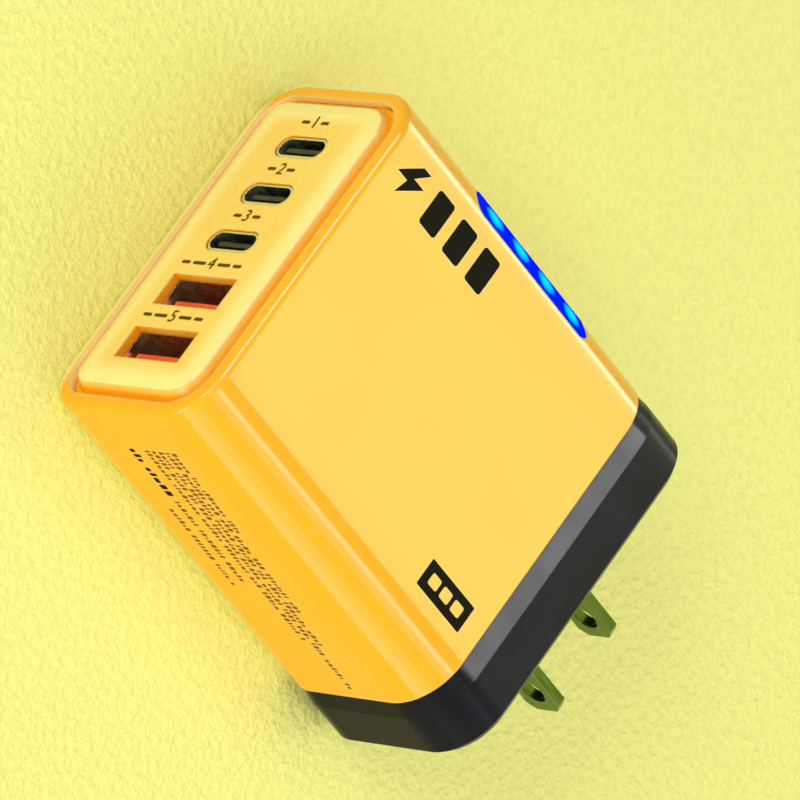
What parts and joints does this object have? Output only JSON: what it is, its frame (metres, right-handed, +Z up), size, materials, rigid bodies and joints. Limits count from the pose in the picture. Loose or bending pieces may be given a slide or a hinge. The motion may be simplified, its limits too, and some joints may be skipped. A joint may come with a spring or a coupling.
{
  "type": "multi-port usb charger",
  "caption": "Rounded box-shaped plug-in charger: yellow sleeve with slim and flat sockets on a raised end panel, blue corner light bar, black base and flat mains blades.",
  "frame": {"origin": "middle of the overall box, on the plane of the large back face", "axes": "+X along the port row from the slim to the flat sockets, +Y out of the plug face along the blades, +Z up out of the large front face"},
  "size_m": [0.0548, 0.083, 0.03],
  "materials": {
    "yellow_plastic": "glossy moulded yellow",
    "black_plastic": "moulded black, semi-gloss",
    "blade_metal": "plated, polished",
    "light_guide": "tinted blue, lit from behind",
    "receptacle_steel": "plated, bright",
    "black_insert": "moulded black",
    "orange_insert": "moulded orange red",
    "contact_metal": "gold flash",
    "circuit_board": "green solder mask",
    "led_lens": "clear epoxy",
    "ferrite": "matt sintered grey",
    "winding_tape": "polyester tape",
    "winding_copper": "enamelled copper",
    "capacitor_can": "satin can",
    "film_case": "moulded box",
    "fuse_case": "moulded brown",
    "chip_case": "moulded epoxy",
    "spreader_metal": "satin sheet",
    "insulating_film": "polyester film",
    "strap_metal": "stamped strip",
    "ribbon_film": "flat flexible ribbon"
  },
  "bodies": {
    "root": {"housing_sleeve": "yellow_plastic", "port_panel": "yellow_plastic", "base_cover": "black_plastic", "blade_clamp": "black_plastic", "blade_left": "blade_metal", "blade_right": "blade_metal", "light_bar": "light_guide", "usb_c_shell_1": "receptacle_steel", "usb_c_shell_2": "receptacle_steel", "usb_c_shell_3": "receptacle_steel", "usb_a_shell_1": "receptacle_steel", "usb_a_shell_2": "receptacle_steel", "usb_c_insert_1": "black_insert", "usb_c_insert_2": "black_insert", "usb_c_insert_3": "black_insert", "usb_a_insert_1": "orange_insert", "usb_a_insert_2": "orange_insert", "usb_a_contacts_1": "contact_metal", "usb_a_contacts_2": "contact_metal", "port_board": "circuit_board", "main_board": "circuit_board", "indicator_board": "circuit_board", "indicator_leds": "led_lens", "transformer_core": "ferrite", "choke_core": "ferrite", "transformer_winding": "winding_tape", "choke_winding_1": "winding_copper", "choke_winding_2": "winding_copper", "bulk_capacitor_1": "capacitor_can", "bulk_capacitor_2": "capacitor_can", "output_capacitor_1": "capacitor_can", "output_capacitor_2": "capacitor_can", "film_capacitor": "film_case", "fuse": "fuse_case", "rectifier": "chip_case", "power_chip": "chip_case", "heat_spreader": "spreader_metal", "insulating_sheet": "insulating_film", "live_strap": "strap_metal", "neutral_strap": "strap_metal", "indicator_ribbon": "ribbon_film"}
  },
  "joints": []
}
